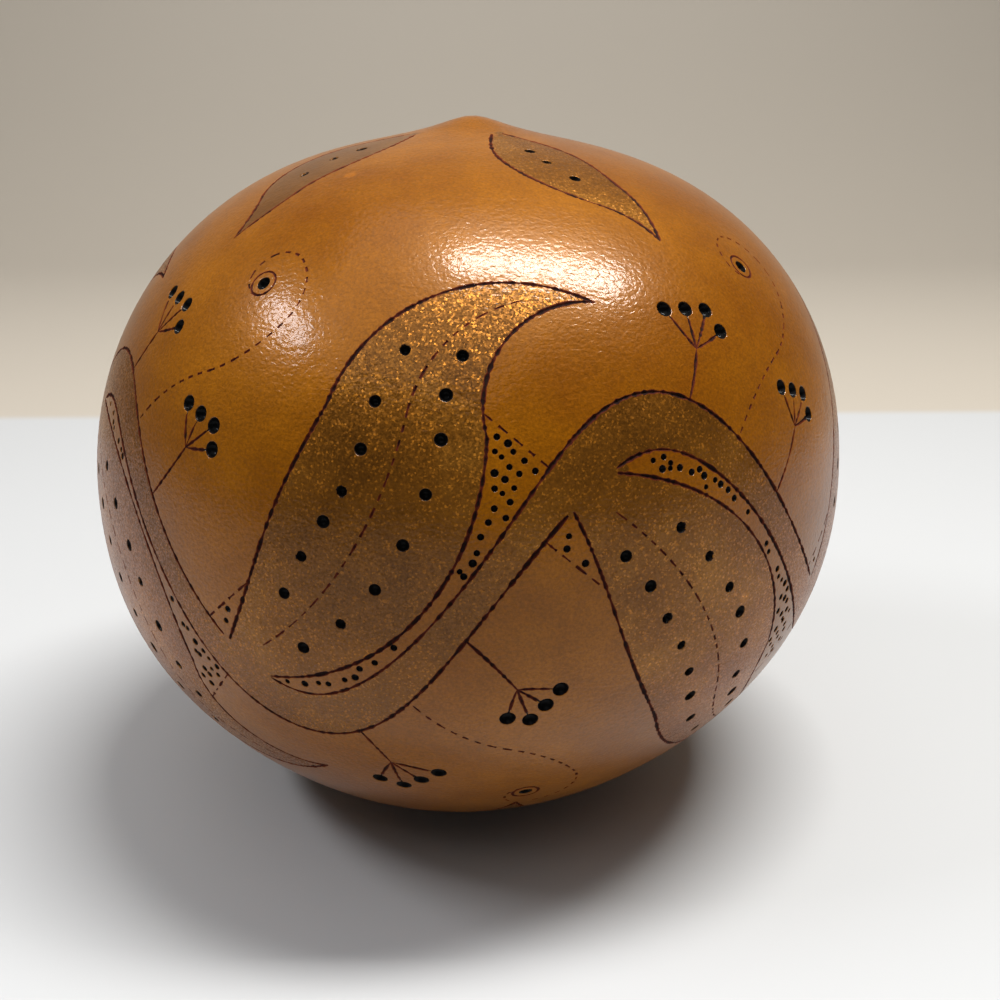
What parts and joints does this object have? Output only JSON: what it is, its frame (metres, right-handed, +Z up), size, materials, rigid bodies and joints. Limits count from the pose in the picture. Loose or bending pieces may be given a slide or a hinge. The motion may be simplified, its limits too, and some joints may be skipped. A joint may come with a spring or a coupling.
{
  "type": "carved gourd",
  "caption": "Round dried craft gourd with a low nub and a small resting flat, burned and drilled all over with a running leafy vine, dyed amber and varnished",
  "frame": {"origin": "middle of the gourd in plan, at the height of the small flat that it stands on", "axes": "+Z up through the nub, -Y towards the viewer's side of the picture, +X to the right"},
  "size_m": [0.1508, 0.15, 0.1354],
  "materials": {
    "gourd_skin": "dyed amber gourd skin under satin varnish, with bronze leaves and burned lines"
  },
  "bodies": {
    "root": {"gourd": "gourd_skin"}
  },
  "joints": []
}
